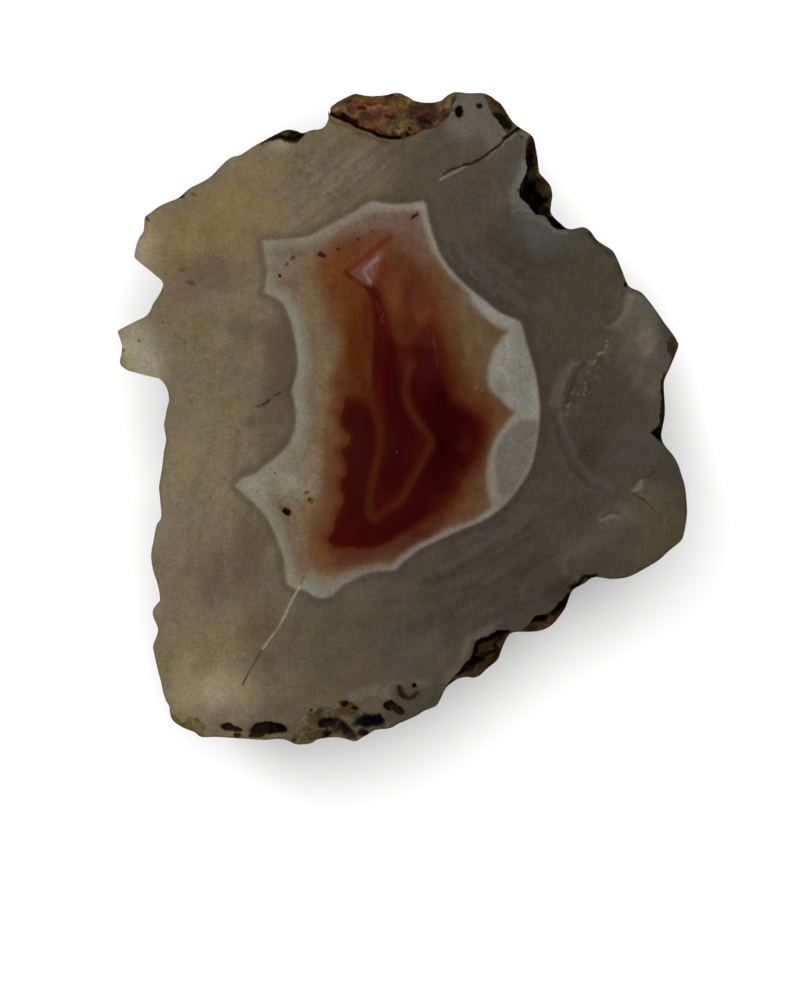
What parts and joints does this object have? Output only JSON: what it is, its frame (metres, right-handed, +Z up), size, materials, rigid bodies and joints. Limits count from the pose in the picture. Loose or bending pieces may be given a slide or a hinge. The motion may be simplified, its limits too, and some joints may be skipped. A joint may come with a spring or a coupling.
{
  "type": "polished agate half",
  "caption": "Half of an agate nodule with a level polished face, a white-edged banded centre, rough rind at the rim and a rounded natural back that it rests on.",
  "frame": {"origin": "middle of the outline, at the level of the flat spot that the stone rests on", "axes": "+Z up out of the polished face, +X towards the rounded lobe on the right of the face, +Y towards the crust at the top of the face"},
  "size_m": [0.057, 0.0654, 0.025],
  "materials": {
    "agate": "polished across the cut face, waxy on the broken left flank, rough and earthy on the rind"
  },
  "bodies": {
    "root": {"agate_half": "agate"}
  },
  "joints": []
}
